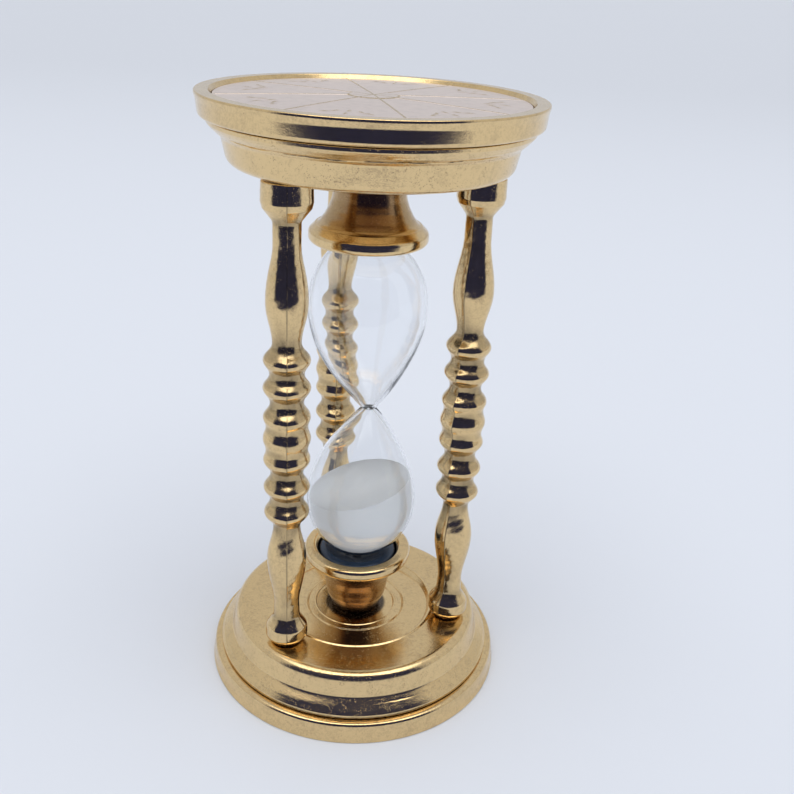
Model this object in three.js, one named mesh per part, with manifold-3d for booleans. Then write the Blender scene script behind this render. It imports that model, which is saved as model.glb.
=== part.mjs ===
// Brass hourglass: two turned end assemblies held apart by three ringed pillars, with a blown glass
// vial of sand standing between two cups lined with rubber cushions.
// Millimetres, +Z up. The origin is the centre of the base's underside.

import * as THREE from 'three';
import { mergeVertices } from 'three/addons/utils/BufferGeometryUtils.js';
import Module from 'manifold-3d';

const wasm = await Module();
wasm.setup();

// ---- driving dimensions -------------------------------------------------------------------------

const OVERALL_HEIGHT = 150; // floor face of the base to the upper face of the top
const FIT_GAP = 0.3; // clearance between pieces that touch

const CAP_RADIUS = 39;
const CAP_THICKNESS = 5.4;
const CAP_LEDGE_RADIUS = 38.1; // the cap's side leans in from its rim to this ledge
const RECESS_RADIUS = 35.3; // shallow recess that holds the relief disc
const RECESS_DEPTH = 2.1;
const SPIGOT_RADIUS = 31.8; // lip on the cap that registers in the end plate
const SPIGOT_WALL = 2.2;
const SPIGOT_DEPTH = 2.2;
const CAP_WEB = 1.9; // thickness of the cap behind the relief disc

const DISC_EDGE_DEPTH = 0.95; // the relief disc is a shallow dome: its ground lies this far below the
const DISC_CENTRE_DEPTH = 0.5; // cap's rim at its edge and at its centre
const RELIEF_HEIGHT = 0.38;
const SPOKE_COUNT = 8;
const SPOKE_WIDTH = 0.6;
const SPOKE_TURN = 33.2; // degrees
const BOSS_RADIUS = 5.6; // raised disc where the spokes meet

const PLATE_OUTER_FACE = CAP_THICKNESS + FIT_GAP; // heights below are measured from the floor face
const PLATE_INNER_FACE = 15.6;
const PLATE_EDGE_RADIUS = 32.25;
const PLATE_EDGE_ROUND = 2;
const SKIRT_RADIUS = 36.6; // the plate's side flares out to this skirt, next to the cap
const DISH_FLOOR = 11.9; // the plate is a dished casting, open towards its cap
const DISH_RADIUS = SPIGOT_RADIUS + FIT_GAP;
const SEAT_RADIUS = 19.6; // turned recess round the cup
const SEAT_FACE = 14.5;

const PILLAR_CIRCLE = 25.55; // radius of the circle through the pillar axes
const PILLAR_TURN = 17.1; // degrees that the pillars are turned about Z
const PILLAR_MIDDLE = 73.9; // height of the middle bead
const FOOT_RADIUS = 5.35; // round ball at a pillar's lower end
const HEAD_DRUM_RADIUS = 5.6; // short drum at its upper end
const SCREW_HOLE_RADIUS = 2.2;
const SCREW_HOLE_DEPTH = 9;

const SHANK_RADIUS = SCREW_HOLE_RADIUS - FIT_GAP;
const HEAD_RADIUS = 3.4; // screw head
const HEAD_HEIGHT = 2.2;
const SLOT_WIDTH = 0.9;
const SLOT_DEPTH = 1.0;
const WASHER_RADIUS = 3.9;
const WASHER_THICKNESS = 0.8;

const CUP_FOOT_RADIUS = 5.7;
const CUP_RIM_RADIUS = 14.15;
const CUP_RIM_FACE = 33.3;
const CUP_BORE_RADIUS = 10.5;
const CUP_BORE_TURN = 29.6; // height where the straight bore turns into a cone
const CUP_FLOOR = 25;
const CUP_FLOOR_RADIUS = 7.4;
const CUP_SCREW_DEPTH = 8;

const NECK_HEIGHT = 73.9;
const NECK_RADIUS = 1.8;
const LOWER_BULB = { radius: 14.1, widest: 47.4, end: 31.9 };
const UPPER_BULB = { radius: 14.5, widest: 100.9, end: 118.1 };
const GLASS_WALL = 1.0;
const NECK_BORE = 0.5;
const FILL_TUBE = { radius: 2.6, bore: 1.3, end: 27.2 };

const SAND_LEVEL = 51.9; // height of the sand's surface at the axis
const SAND_TILT = 14; // degrees that the surface leans, high towards +X

const WIDE_SEGMENTS = 32;
const CUP_SEGMENTS = 20;
const VIAL_SEGMENTS = 18;
const PILLAR_SEGMENTS = 10;
const SMALL_SEGMENTS = 8;

// ---- materials ----------------------------------------------------------------------------------

const standard = (name, color, roughness, metalness) =>
  new THREE.MeshStandardMaterial({ name, color, roughness, metalness });

const polishedBrass = standard('polished_brass', 0xd8bd84, 0.22, 1);
const castBrass = standard('cast_brass', 0xc9a768, 0.32, 1);
const coppery = standard('relief_disc', 0xd9bfa8, 0.45, 1);
const steel = standard('steel_fixing', 0xb4b6b9, 0.35, 1);
const blackRubber = standard('black_rubber', 0x12151d, 0.35, 0);
const stopperRubber = standard('stopper', 0x8a6f52, 0.8, 0);
const whiteSand = standard('white_sand', 0xe6e9ea, 0.95, 0);
const clearGlass = standard('clear_glass', 0xf2f7fa, 0.03, 0);
clearGlass.transparent = true;
clearGlass.opacity = 0.25;

// ---- geometry helpers ---------------------------------------------------------------------------

const point = (radius, height) => new THREE.Vector2(radius, height);

// Turns a profile of (radius, height) points about Z.
function turned(profile, segments) {
  return new THREE.LatheGeometry(profile, segments).rotateX(Math.PI / 2);
}

// Points of a quarter round between two corners, bulging towards the given corner point.
function rounded(from, corner, to, steps = 3) {
  return new THREE.QuadraticBezierCurve(from, corner, to).getPoints(steps);
}

// Points of a smooth curve through the given points.
function fair(points, steps) {
  return new THREE.SplineCurve(points).getPoints(steps);
}

// Half-cosine blends between successive [height, radius] stations: each station is a crest or a cove.
function waved(stations, stepsPerStretch) {
  const points = [];
  for (let i = 0; i + 1 < stations.length; i += 1) {
    const [h0, r0] = stations[i];
    const [h1, r1] = stations[i + 1];
    const steps = stepsPerStretch(Math.abs(h1 - h0));
    for (let k = 0; k < steps; k += 1) {
      const t = k / steps;
      const blend = (1 - Math.cos(Math.PI * t)) / 2;
      points.push(point(r0 + (r1 - r0) * blend, h0 + (h1 - h0) * t));
    }
  }
  const [lastHeight, lastRadius] = stations[stations.length - 1];
  points.push(point(lastRadius, lastHeight));
  return points;
}

function toSolid(geometry) {
  const bare = geometry.clone();
  bare.deleteAttribute('normal');
  bare.deleteAttribute('uv');
  const merged = mergeVertices(bare, 1e-4);
  const vertProperties = Float32Array.from(merged.getAttribute('position').array);
  const triVerts = Uint32Array.from(merged.getIndex().array);
  return new wasm.Manifold(new wasm.Mesh({ numProp: 3, vertProperties, triVerts }));
}

function toGeometry(solid) {
  const { vertProperties, triVerts } = solid.getMesh();
  const geometry = new THREE.BufferGeometry();
  geometry.setAttribute('position', new THREE.BufferAttribute(vertProperties, 3));
  geometry.setIndex(new THREE.BufferAttribute(triVerts, 1));
  return geometry;
}

function cylinder(radius, low, high, segments) {
  return new THREE.CylinderGeometry(radius, radius, high - low, segments)
    .rotateX(Math.PI / 2)
    .translate(0, 0, (low + high) / 2);
}

function named(name, geometry, material) {
  const mesh = new THREE.Mesh(geometry, material);
  mesh.name = name;
  return mesh;
}

// ---- end cap: the outer disc with its raised rim and the spigot that enters the end plate --------

function endCapGeometry() {
  const rimInner = RECESS_RADIUS + 0.5;
  const webFace = RECESS_DEPTH + CAP_WEB;
  const profile = [
    point(0, webFace),
    point(SPIGOT_RADIUS - SPIGOT_WALL, webFace),
    point(SPIGOT_RADIUS - SPIGOT_WALL, CAP_THICKNESS + SPIGOT_DEPTH),
    point(SPIGOT_RADIUS, CAP_THICKNESS + SPIGOT_DEPTH),
    point(SPIGOT_RADIUS, CAP_THICKNESS),
    ...rounded(
      point(CAP_LEDGE_RADIUS - 0.8, CAP_THICKNESS),
      point(CAP_LEDGE_RADIUS, CAP_THICKNESS),
      point(CAP_LEDGE_RADIUS + 0.1, CAP_THICKNESS - 0.8),
      2,
    ),
    ...rounded(point(CAP_RADIUS, 0.5), point(CAP_RADIUS, 0), point(CAP_RADIUS - 0.5, 0), 2),
    ...rounded(point(rimInner, 0), point(RECESS_RADIUS, 0), point(RECESS_RADIUS, 0.5), 2),
    point(RECESS_RADIUS, RECESS_DEPTH),
    point(0, RECESS_DEPTH),
  ];
  return turned(profile.reverse(), WIDE_SEGMENTS);
}

// ---- relief disc: thin domed pressing with spokes running from a centre boss to its edge ----------

// Solid under a dome that is lifted off the disc's ground.
function domeSolid(radius, lift) {
  const share = (r) => (r / radius) ** 2;
  const depth = (r) => DISC_CENTRE_DEPTH + (DISC_EDGE_DEPTH - DISC_CENTRE_DEPTH) * share(r) - lift;
  const back = RECESS_DEPTH - FIT_GAP;
  const crown = [0, 0.25, 0.5, 0.75, 1].map((part) => point(part * radius, depth(part * radius)));
  return toSolid(turned([...crown, point(radius, back), point(0, back)], WIDE_SEGMENTS));
}

function reliefDiscGeometry() {
  const radius = RECESS_RADIUS - FIT_GAP;
  const ground = domeSolid(radius, 0);
  let ornament = toSolid(cylinder(BOSS_RADIUS, 0, RECESS_DEPTH, 16));
  for (let i = 0; i < SPOKE_COUNT; i += 2) {
    const bar = new THREE.BoxGeometry(2 * radius, SPOKE_WIDTH, RECESS_DEPTH)
      .translate(0, 0, RECESS_DEPTH / 2)
      .rotateZ(THREE.MathUtils.degToRad(SPOKE_TURN) + (i * Math.PI) / SPOKE_COUNT);
    ornament = ornament.add(toSolid(bar));
  }
  return toGeometry(ground.add(ornament.intersect(domeSolid(radius - 0.4, RELIEF_HEIGHT))));
}

// ---- end plate: dished casting with a flared skirt, a turned inner face and four screw holes ------

function endPlateGeometry(pillars) {
  const profile = [
    point(0, DISH_FLOOR),
    point(DISH_RADIUS, DISH_FLOOR),
    point(DISH_RADIUS, PLATE_OUTER_FACE),
    point(SKIRT_RADIUS, PLATE_OUTER_FACE),
    point(SKIRT_RADIUS - 0.1, 6.7),
    ...fair([point(35.9, 7.3), point(34.5, 8.4), point(33.5, 9.8)], 3),
    point(33.1, 11.6),
    ...rounded(
      point(PLATE_EDGE_RADIUS + 0.4, PLATE_INNER_FACE - PLATE_EDGE_ROUND),
      point(PLATE_EDGE_RADIUS, PLATE_INNER_FACE),
      point(PLATE_EDGE_RADIUS - PLATE_EDGE_ROUND, PLATE_INNER_FACE),
      3,
    ),
    point(SEAT_RADIUS + 1.2, PLATE_INNER_FACE),
    point(SEAT_RADIUS, SEAT_FACE),
    point(0, SEAT_FACE),
  ];
  let solid = toSolid(turned(profile, WIDE_SEGMENTS));
  const hole = cylinder(SCREW_HOLE_RADIUS, DISH_FLOOR - 1, PLATE_INNER_FACE + 1, SMALL_SEGMENTS);
  for (const [x, y] of [[0, 0], ...pillars.map(({ at }) => at)]) {
    solid = solid.subtract(toSolid(hole.clone().translate(x, y, 0)));
  }
  return toGeometry(solid);
}

// ---- pillars: cast columns with beads and vases, a ball at the lower end, a drum at the upper one ----

function pillarPlaces() {
  const places = [
    ['back', 90],
    ['front_left', 210],
    ['front_right', 330],
  ];
  return places.map(([side, degrees]) => {
    const angle = THREE.MathUtils.degToRad(degrees + PILLAR_TURN);
    return { side, angle, at: [PILLAR_CIRCLE * Math.cos(angle), PILLAR_CIRCLE * Math.sin(angle)] };
  });
}

// Crests and coves on one side of the middle bead, as [distance from the middle, radius].
const PILLAR_STATIONS = [
  [0, 5.6],
  [3.1, 4.95],
  [5.5, 5.55],
  [9.2, 3.95],
  [12.9, 5.5],
  [16.2, 4.05],
  [19.7, 5.45],
  [24, 3.3],
  [33.4, 4.85],
  [46.2, 3.15],
];

function pillarGeometry() {
  const low = PLATE_INNER_FACE + FIT_GAP;
  const high = OVERALL_HEIGHT - PLATE_INNER_FACE - FIT_GAP;
  const upper = PILLAR_STATIONS.map(([offset, radius]) => [PILLAR_MIDDLE + offset, radius]);
  const lower = PILLAR_STATIONS.slice(1).map(([offset, radius]) => [PILLAR_MIDDLE - offset, radius]);
  const shaft = waved([...lower.reverse(), ...upper], (length) => (length > 7 ? 3 : 2));
  const profile = [
    point(0, low + SCREW_HOLE_DEPTH),
    point(SCREW_HOLE_RADIUS, low + SCREW_HOLE_DEPTH),
    point(SCREW_HOLE_RADIUS, low),
    point(FOOT_RADIUS - 1.4, low),
    point(FOOT_RADIUS - 0.3, low + 0.9),
    point(FOOT_RADIUS, low + 2.4),
    ...rounded(point(FOOT_RADIUS - 0.1, low + 4.2), point(4.9, low + 6), point(3.6, low + 7.4), 2),
    ...shaft,
    ...rounded(point(3.15, high - 10), point(3.2, high - 8.6), point(3.7, high - 8), 2),
    point(HEAD_DRUM_RADIUS - 0.2, high - 5.8),
    point(HEAD_DRUM_RADIUS + 0.05, high - 4.6),
    point(HEAD_DRUM_RADIUS, high - 0.5),
    point(HEAD_DRUM_RADIUS - 0.5, high),
    point(SCREW_HOLE_RADIUS, high),
    point(SCREW_HOLE_RADIUS, high - SCREW_HOLE_DEPTH),
    point(0, high - SCREW_HOLE_DEPTH),
  ];
  return turned(profile, PILLAR_SEGMENTS);
}

// ---- screws and washers: hidden in the dish of each end plate, heads towards the cap --------------

function screwGeometry(tip) {
  const seat = DISH_FLOOR - 2 * FIT_GAP - WASHER_THICKNESS;
  const top = seat - HEAD_HEIGHT;
  const profile = [
    point(0, top),
    ...rounded(point(HEAD_RADIUS - 0.9, top), point(HEAD_RADIUS, top), point(HEAD_RADIUS, top + 0.9), 2),
    point(HEAD_RADIUS, seat),
    point(SHANK_RADIUS, seat),
    point(SHANK_RADIUS, tip - 0.8),
    point(SHANK_RADIUS - 0.8, tip),
    point(0, tip),
  ];
  const slot = new THREE.BoxGeometry(3 * HEAD_RADIUS, SLOT_WIDTH, 2 * SLOT_DEPTH).translate(0, 0, top);
  return toGeometry(toSolid(turned(profile, SMALL_SEGMENTS)).subtract(toSolid(slot)));
}

function washerGeometry() {
  const high = DISH_FLOOR - FIT_GAP;
  const low = high - WASHER_THICKNESS;
  const corners = [
    point(SCREW_HOLE_RADIUS, low),
    point(WASHER_RADIUS, low),
    point(WASHER_RADIUS, high),
    point(SCREW_HOLE_RADIUS, high),
    point(SCREW_HOLE_RADIUS, low),
  ];
  return turned(corners, SMALL_SEGMENTS);
}

// ---- glass cup: bowl on an undercut foot, flaring to a rolled rim, with a bore for the cushion -----

function cupGeometry() {
  const foot = SEAT_FACE + FIT_GAP;
  const profile = [
    point(0, foot + CUP_SCREW_DEPTH),
    point(SCREW_HOLE_RADIUS, foot + CUP_SCREW_DEPTH),
    point(SCREW_HOLE_RADIUS, foot),
    point(CUP_FOOT_RADIUS, foot),
    point(CUP_FOOT_RADIUS, foot + 0.8),
    point(6.6, foot + 1),
    ...fair([point(6.9, 16.2), point(8.35, 21), point(9.3, 25), point(12.1, 28.9)], 5),
    ...rounded(point(13.2, 29.9), point(CUP_RIM_RADIUS, 30.6), point(CUP_RIM_RADIUS, 31.8), 3),
    ...rounded(point(CUP_RIM_RADIUS - 0.1, 32.2), point(13.8, CUP_RIM_FACE), point(12.3, CUP_RIM_FACE), 3),
    point(11.3, CUP_RIM_FACE - 0.1),
    point(CUP_BORE_RADIUS, 32.4),
    point(CUP_BORE_RADIUS, CUP_BORE_TURN),
    point(CUP_FLOOR_RADIUS, CUP_FLOOR),
    point(0, CUP_FLOOR),
  ];
  return turned(profile, CUP_SEGMENTS);
}

// Rubber cushion: fills the cup's bore, with a hollow seat for the bulb and a hole for its fill tube.
function cushionGeometry() {
  const radius = CUP_BORE_RADIUS - FIT_GAP;
  const low = CUP_FLOOR + FIT_GAP;
  const hole = FILL_TUBE.radius + FIT_GAP;
  const profile = [
    point(hole, low),
    point(CUP_FLOOR_RADIUS - 0.15, low),
    point(radius, CUP_BORE_TURN + 0.15),
    point(radius, 31.6),
    ...rounded(point(radius - 0.6, 32.3), point(radius - 1.2, 32.9), point(radius - 2.4, 32.8), 2),
    ...fair([point(6, 32.2), point(4.4, 31.7), point(hole, 31.3)], 2),
    point(hole, low),
  ];
  return turned(profile, CUP_SEGMENTS);
}

// ---- vial: two blown bulbs joined by a fine neck, with a fill tube under the lower one ------------

// Meridian of one bulb from the neck to its round end, as (radius, height) points.
// The shoulder is a sine of the distance from the neck; the end is half an ellipse.
function bulbMeridian(bulb, neckRadius, wall, shoulderSteps, endSteps) {
  const side = Math.sign(bulb.widest - NECK_HEIGHT);
  const reach = Math.abs(bulb.widest - NECK_HEIGHT);
  const radius = bulb.radius - wall;
  const depth = Math.abs(bulb.end - bulb.widest) - wall;
  const points = [];
  for (let i = 0; i < shoulderSteps; i += 1) {
    const t = i / shoulderSteps;
    const swell = Math.sin((Math.PI / 2) * t ** 0.95);
    points.push(point(neckRadius + (radius - neckRadius) * swell, NECK_HEIGHT + side * reach * t));
  }
  for (let i = 0; i < endSteps; i += 1) {
    const angle = ((Math.PI / 2) * i) / endSteps;
    points.push(point(radius * Math.cos(angle), bulb.widest + side * depth * Math.sin(angle)));
  }
  return points;
}

function vialGeometry() {
  const outerUp = bulbMeridian(UPPER_BULB, NECK_RADIUS, 0, 5, 5);
  const outerDown = bulbMeridian(LOWER_BULB, NECK_RADIUS, 0, 5, 5).slice(1);
  const innerUp = bulbMeridian(UPPER_BULB, NECK_BORE, GLASS_WALL, 5, 5);
  const innerDown = bulbMeridian(LOWER_BULB, NECK_BORE, GLASS_WALL, 5, 5).slice(1);
  const profile = [
    point(0, UPPER_BULB.end - GLASS_WALL),
    ...innerUp.reverse(),
    ...innerDown,
    point(FILL_TUBE.bore, LOWER_BULB.end + GLASS_WALL),
    point(FILL_TUBE.bore, FILL_TUBE.end),
    point(FILL_TUBE.radius, FILL_TUBE.end),
    point(FILL_TUBE.radius, LOWER_BULB.end),
    ...outerDown.reverse(),
    ...outerUp,
    point(0, UPPER_BULB.end),
  ];
  return turned(profile, VIAL_SEGMENTS);
}

function stopperGeometry() {
  const headLow = CUP_FLOOR + FIT_GAP + 0.3;
  const headHigh = FILL_TUBE.end - FIT_GAP;
  const stem = FILL_TUBE.bore - FIT_GAP;
  const profile = [
    point(0, headLow),
    point(FILL_TUBE.radius - 0.2, headLow),
    point(FILL_TUBE.radius - 0.2, headHigh),
    point(stem, headHigh),
    point(stem, LOWER_BULB.end),
    point(0, LOWER_BULB.end),
  ];
  return turned(profile, SMALL_SEGMENTS);
}

// Sand: fills the bottom of the lower bulb up to a plane that leans as the sand last settled.
function sandGeometry() {
  const bulb = bulbMeridian(LOWER_BULB, NECK_BORE, GLASS_WALL + FIT_GAP, 5, 5);
  const fill = [...bulb, point(0, LOWER_BULB.end + GLASS_WALL + FIT_GAP)];
  fill.unshift(point(0, NECK_HEIGHT));
  const side = 80;
  const air = new THREE.BoxGeometry(side, side, side)
    .translate(0, 0, side / 2)
    .rotateY(-THREE.MathUtils.degToRad(SAND_TILT))
    .translate(0, 0, SAND_LEVEL);
  return toGeometry(toSolid(turned(fill.reverse(), VIAL_SEGMENTS)).subtract(toSolid(air)));
}

// ---- assembly -----------------------------------------------------------------------------------

// One end of the hourglass, standing on its cap; the top is the same assembly turned over.
function endAssembly(end, pillars) {
  const group = new THREE.Group();
  group.add(named(`${end}_end_cap`, endCapGeometry(), polishedBrass));
  group.add(named(`${end}_relief_disc`, reliefDiscGeometry(), coppery));
  group.add(named(`${end}_glass_cup`, cupGeometry(), polishedBrass));
  group.add(named(`${end}_cushion`, cushionGeometry(), blackRubber));
  group.add(named(`${end}_end_plate`, endPlateGeometry(pillars), castBrass));

  const pillarTip = PLATE_INNER_FACE + SCREW_HOLE_DEPTH - 1;
  const cupTip = SEAT_FACE + CUP_SCREW_DEPTH - 1;
  const fixings = [
    { side: 'cup', at: [0, 0], tip: cupTip },
    ...pillars.map(({ side, at }) => ({ side, at, tip: pillarTip })),
  ];
  for (const { side, at, tip } of fixings) {
    const screw = named(`${end}_screw_${side}`, screwGeometry(tip), steel);
    const washer = named(`${end}_washer_${side}`, washerGeometry(), steel);
    screw.position.set(at[0], at[1], 0);
    washer.position.set(at[0], at[1], 0);
    group.add(screw, washer);
  }
  return group;
}

// Turning about Y mirrors the pillar places in X, so the top's fixings are named by the mirrored side.
function topAssembly() {
  const mirrored = pillarPlaces().map(({ side, at }) => ({ side, at: [-at[0], at[1]] }));
  const group = endAssembly('top', mirrored);
  group.rotation.y = Math.PI;
  group.position.z = OVERALL_HEIGHT;
  return group;
}

const hourglass = new THREE.Group();
hourglass.add(endAssembly('bottom', pillarPlaces()), topAssembly());
for (const { side, angle, at } of pillarPlaces()) {
  const pillar = named(`pillar_${side}`, pillarGeometry(), castBrass);
  pillar.position.set(at[0], at[1], 0);
  pillar.rotation.z = angle;
  hourglass.add(pillar);
}
hourglass.add(
  named('glass_vial', vialGeometry(), clearGlass),
  named('fill_stopper', stopperGeometry(), stopperRubber),
  named('sand', sandGeometry(), whiteSand),
);

export default hourglass;
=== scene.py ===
"""Finished model of a brass hourglass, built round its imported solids.

Two turned end assemblies (end cap, relief disc, end plate, glass cup, rubber cushion) are held apart
by three ringed pillars, and a blown vial of white sand stands between the cups. Each sub-assembly is a
class that works out its surfaces as whole numpy arrays and dresses them in a procedural finish. Sizes
are in millimetres until a mesh is made, and metres after that.
"""

import logging
import math
from dataclasses import dataclass, field
from enum import Enum
from typing import Callable, Sequence

import bpy
import numpy as np
from mathutils import Matrix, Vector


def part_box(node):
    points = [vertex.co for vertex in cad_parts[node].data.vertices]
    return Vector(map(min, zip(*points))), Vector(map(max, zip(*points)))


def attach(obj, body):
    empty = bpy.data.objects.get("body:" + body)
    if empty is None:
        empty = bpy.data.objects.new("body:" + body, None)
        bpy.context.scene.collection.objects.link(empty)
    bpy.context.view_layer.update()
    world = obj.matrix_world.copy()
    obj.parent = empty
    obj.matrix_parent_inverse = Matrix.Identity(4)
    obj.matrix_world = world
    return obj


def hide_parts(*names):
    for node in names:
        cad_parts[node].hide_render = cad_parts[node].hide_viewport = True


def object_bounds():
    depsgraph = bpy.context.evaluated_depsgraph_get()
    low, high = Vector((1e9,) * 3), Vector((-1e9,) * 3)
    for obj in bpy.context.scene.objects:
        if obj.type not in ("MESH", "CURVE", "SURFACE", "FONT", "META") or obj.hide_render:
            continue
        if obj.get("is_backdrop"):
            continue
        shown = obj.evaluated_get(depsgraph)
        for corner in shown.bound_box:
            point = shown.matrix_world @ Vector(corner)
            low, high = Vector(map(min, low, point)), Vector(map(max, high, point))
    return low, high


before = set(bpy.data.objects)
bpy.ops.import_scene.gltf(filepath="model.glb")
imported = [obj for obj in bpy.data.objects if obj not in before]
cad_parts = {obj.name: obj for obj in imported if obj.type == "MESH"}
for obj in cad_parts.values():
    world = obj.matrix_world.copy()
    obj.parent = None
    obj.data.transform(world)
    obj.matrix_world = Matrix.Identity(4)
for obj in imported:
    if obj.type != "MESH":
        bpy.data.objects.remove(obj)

MM = 0.001
BODY = "root"
log = logging.getLogger("hourglass")

Array = np.ndarray
Swell = Callable[[Array, Array, Array], Array]
Colour = tuple[float, float, float]
Socket = bpy.types.NodeSocket
Material = bpy.types.Material
Piece = bpy.types.Object


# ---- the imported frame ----

def node_box(node: str) -> tuple[Array, Array]:
    """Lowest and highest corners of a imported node.

    Args:
        node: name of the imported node.

    Returns:
        Two arrays of three lengths in mm.
    """
    low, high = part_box(node)
    return np.array(low) / MM, np.array(high) / MM


def node_axis(node: str) -> tuple[float, float]:
    """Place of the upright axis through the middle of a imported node, in mm."""
    low, high = node_box(node)
    return float(low[0] + high[0]) / 2, float(low[1] + high[1]) / 2


def bounds_as_lists() -> list[list[float]]:
    """The whole object's lowest and highest corners in metres, as plain lists."""
    return [[float(value) for value in corner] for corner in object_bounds()]


# ---- turned outlines ----

def arc_between(before: Array, corner: Array, after: Array, rounding: float) -> Array:
    """Points of the arc that rounds one corner.

    The arc touches both sides at rounding * tan(turn / 2) from the corner. Its points are the centre
    plus a radius swung evenly from the first touch to the second.

    Args:
        before: the outline's previous corner.
        corner: the corner that is rounded.
        after: the outline's next corner.
        rounding: radius of the arc in mm; it is cut down where a side is too short for it.

    Returns:
        Points of the arc, or the bare corner where nothing is rounded.
    """
    back, ahead = before - corner, after - corner
    back_length, ahead_length = np.linalg.norm(back), np.linalg.norm(ahead)
    back, ahead = back / back_length, ahead / ahead_length
    turn = math.pi - math.acos(float(np.clip(back @ ahead, -1, 1)))
    if rounding <= 0 or turn < 0.02:
        return corner[None]
    reach = min(rounding * math.tan(turn / 2), 0.48 * min(back_length, ahead_length))
    radius = reach / math.tan(turn / 2)
    middle = back + ahead
    centre = corner + middle / np.linalg.norm(middle) * math.hypot(reach, radius)
    first, last = corner + back * reach - centre, corner + ahead * reach - centre
    share = np.linspace(0, 1, max(4, math.ceil(turn / math.radians(9))))[:, None]
    return centre + (np.sin((1 - share) * turn) * first + np.sin(share * turn) * last) / math.sin(turn)


def turned_outline(*corners: tuple[float, ...], loop: bool = False, step: float = 1.5) -> Array:
    """Points along an outline of straight sides with rounded corners.

    Long sides are divided evenly, with one more point close to each end, so that a flat face keeps a
    flat shade right up to its rounded edge.

    Args:
        corners: each corner's radius, height and, where it is rounded, rounding in mm, in order.
        loop: whether the last corner joins the first.
        step: longest side between two points, in mm.

    Returns:
        Array of (radius, height) points in mm.
    """
    places = np.array([corner[:2] for corner in corners], float)
    count = len(corners)
    arcs = []
    for i, corner in enumerate(corners):
        if not loop and i in (0, count - 1):
            arcs.append(places[i][None])
        else:
            rounding = corner[2] if len(corner) > 2 else 0.0
            arcs.append(arc_between(places[i - 1], places[i], places[(i + 1) % count], rounding))
    stretches = []
    for i in range(count if loop else count - 1):
        start, end = arcs[i][-1], arcs[(i + 1) % count][0]
        length = float(np.linalg.norm(end - start))
        hold = min(0.12, length / 4) / max(length, 1e-9)
        inner = np.linspace(hold, 1 - hold, max(2, math.ceil(length / step) + 1))
        share = inner if length > 0.05 else np.empty(0)
        stretches += [arcs[i], start + (end - start) * share[:, None]]
    if not loop:
        stretches.append(arcs[-1])
    points = np.concatenate(stretches)
    far = np.linalg.norm(np.diff(points, axis=0), axis=1) > 1e-4
    return points[np.concatenate(([True], far))]


def waved_outline(stations: Sequence[tuple[float, float]], step: float) -> Array:
    """Outline of crests and coves: half-cosine blends between successive (height, radius) stations.

    The rise above a cove is raised to a power: short stretches get narrow crests, long ones broad.

    Args:
        stations: heights and radii of the crests and coves, in mm, in order of height.
        step: height between two points, in mm.

    Returns:
        Array of (radius, height) points in mm, one stretch after another.
    """
    parts = []
    for (low, low_radius), (high, high_radius) in zip(stations, stations[1:]):
        share = np.linspace(0, 1, max(4, round((high - low) / step)), endpoint=False)
        rise = (1 - np.cos(math.pi * share)) / 2
        rise = rise if high_radius > low_radius else 1 - rise
        rise = rise ** (1.25 if high - low < 6 else 0.85)
        radius = min(low_radius, high_radius) + abs(high_radius - low_radius) * rise
        parts.append(np.column_stack((radius, low + (high - low) * share)))
    parts.append(np.array([[stations[-1][1], stations[-1][0]]]))
    return np.concatenate(parts)


# ---- surfaces ----

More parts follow.
